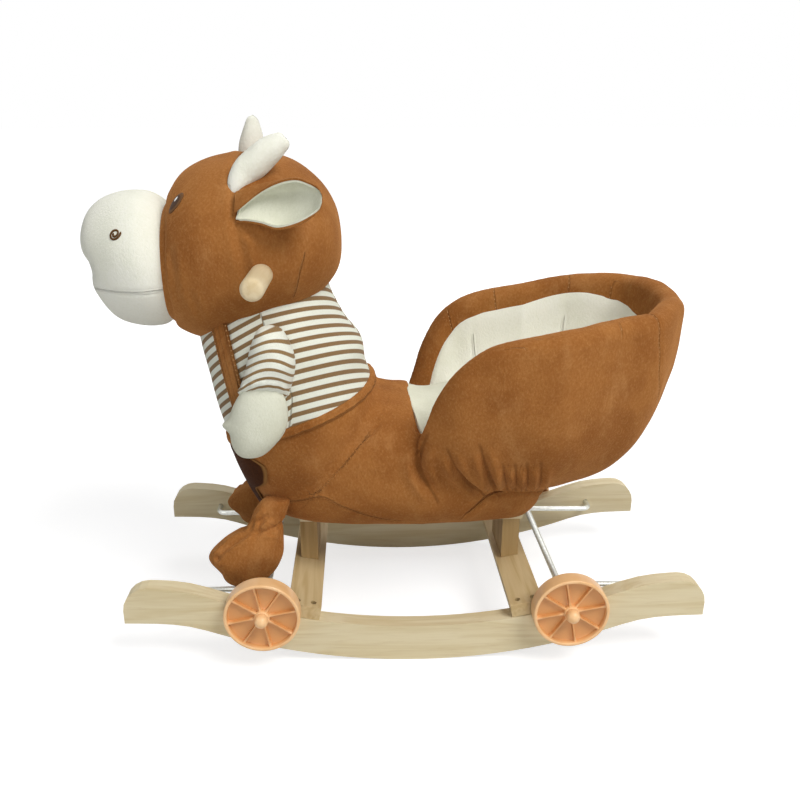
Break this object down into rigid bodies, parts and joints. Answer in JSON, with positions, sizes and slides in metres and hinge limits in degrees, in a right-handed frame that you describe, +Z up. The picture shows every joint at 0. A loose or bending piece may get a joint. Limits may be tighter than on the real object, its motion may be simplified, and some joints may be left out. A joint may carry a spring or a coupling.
{
  "type": "rocking cow with wheels",
  "caption": "Stuffed ride-on cow on wooden rockers, with a bucket seat, handle bar and wheeled axle frames that flip under the rockers.",
  "frame": {"origin": "on the floor under the middle of the whole toy", "axes": "+X from the cow's muzzle to the seat's back, +Y to the cow's right side, +Z up"},
  "size_m": [0.5996, 0.312, 0.5125],
  "materials": {
    "pale_wood": "satin varnish over pale straight-grained wood",
    "plywood": "bare plywood",
    "steel_wire": "bright zinc plate",
    "dark_screw": "dark plated screw",
    "peach_plastic": "peach moulded plastic",
    "brown_plush": "short brown plush",
    "cream_plush": "short cream plush",
    "striped_cloth": "knit with brown and cream stripes",
    "dark_thread": "embroidery thread",
    "dark_brown_cloth": "dark brown plush"
  },
  "bodies": {
    "toy": {"left_rocker": "pale_wood", "right_rocker": "pale_wood", "front_crossbar": "pale_wood", "rear_crossbar": "pale_wood", "front_post": "pale_wood", "rear_post": "pale_wood", "handle_bar": "pale_wood", "neck_board": "plywood", "seat_board": "plywood", "front_post_screw": "dark_screw", "front_left_screw_a": "dark_screw", "front_left_screw_b": "dark_screw", "front_right_screw_a": "dark_screw", "front_right_screw_b": "dark_screw", "rear_post_screw": "dark_screw", "rear_left_screw_a": "dark_screw", "rear_left_screw_b": "dark_screw", "rear_right_screw_a": "dark_screw", "rear_right_screw_b": "dark_screw", "head": "brown_plush", "overalls": "brown_plush", "seat_base": "brown_plush", "seat_shell": "brown_plush", "muzzle": "cream_plush", "seat_lining": "cream_plush", "seat_cushion": "cream_plush", "striped_shirt": "striped_cloth", "belly_patch": "dark_brown_cloth", "left_ear": "brown_plush", "left_strap": "brown_plush", "left_ear_lining": "cream_plush", "left_horn": "cream_plush", "left_eye": "dark_thread", "left_nostril": "dark_thread", "right_ear": "brown_plush", "right_strap": "brown_plush", "right_ear_lining": "cream_plush", "right_horn": "cream_plush", "right_eye": "dark_thread", "right_nostril": "dark_thread"},
    "front_axle_frame": {"front_axle_rod": "steel_wire", "front_left_axle_arm": "steel_wire", "front_left_axle_cap": "peach_plastic", "front_right_axle_arm": "steel_wire", "front_right_axle_cap": "peach_plastic"},
    "front_left_wheel": {"front_left_wheel": "peach_plastic"},
    "front_right_wheel": {"front_right_wheel": "peach_plastic"},
    "rear_axle_frame": {"rear_axle_rod": "steel_wire", "rear_left_axle_arm": "steel_wire", "rear_left_axle_cap": "peach_plastic", "rear_right_axle_arm": "steel_wire", "rear_right_axle_cap": "peach_plastic"},
    "rear_left_wheel": {"rear_left_wheel": "peach_plastic"},
    "rear_right_wheel": {"rear_right_wheel": "peach_plastic"},
    "left_arm": {"left_sleeve": "striped_cloth", "left_hand": "cream_plush"},
    "left_leg": {"left_leg": "brown_plush"},
    "right_arm": {"right_sleeve": "striped_cloth", "right_hand": "cream_plush"},
    "right_leg": {"right_leg": "brown_plush"}
  },
  "joints": [
    {"name": "front_axle_flip", "type": "hinge", "parent": "toy", "child": "front_axle_frame", "pos_m": [-0.20835, 0, 0.0607], "axis": [0, -1, 0], "range_deg": [0, 325], "deforming": ["left_leg", "right_leg"]},
    {"name": "rear_axle_flip", "type": "hinge", "parent": "toy", "child": "rear_axle_frame", "pos_m": [0.24185, 0, 0.0607], "axis": [0, 1, 0], "range_deg": [0, 325]},
    {"name": "front_left_wheel_spin", "type": "hinge", "parent": "front_axle_frame", "child": "front_left_wheel", "pos_m": [-0.13105, -0.1286, 0.06158], "axis": [0, 1, 0], "continuous": true},
    {"name": "front_right_wheel_spin", "type": "hinge", "parent": "front_axle_frame", "child": "front_right_wheel", "pos_m": [-0.13105, 0.1286, 0.06158], "axis": [0, 1, 0], "continuous": true},
    {"name": "rear_left_wheel_spin", "type": "hinge", "parent": "rear_axle_frame", "child": "rear_left_wheel", "pos_m": [0.16455, -0.1286, 0.06158], "axis": [0, 1, 0], "continuous": true},
    {"name": "rear_right_wheel_spin", "type": "hinge", "parent": "rear_axle_frame", "child": "rear_right_wheel", "pos_m": [0.16455, 0.1286, 0.06158], "axis": [0, 1, 0], "continuous": true},
    {"name": "left_arm_swing", "type": "hinge", "parent": "toy", "child": "left_arm", "pos_m": [-0.11625, -0.0816, 0.318], "axis": [0, 1, 0], "range_deg": [-20, 60]},
    {"name": "left_leg_swing", "type": "hinge", "parent": "toy", "child": "left_leg", "pos_m": [-0.12025, -0.056, 0.1455], "axis": [0, 1, 0], "range_deg": [0, 30]},
    {"name": "right_arm_swing", "type": "hinge", "parent": "toy", "child": "right_arm", "pos_m": [-0.11625, 0.0816, 0.318], "axis": [0, 1, 0], "range_deg": [-20, 60]},
    {"name": "right_leg_swing", "type": "hinge", "parent": "toy", "child": "right_leg", "pos_m": [-0.12025, 0.056, 0.1455], "axis": [0, 1, 0], "range_deg": [0, 30]}
  ]
}
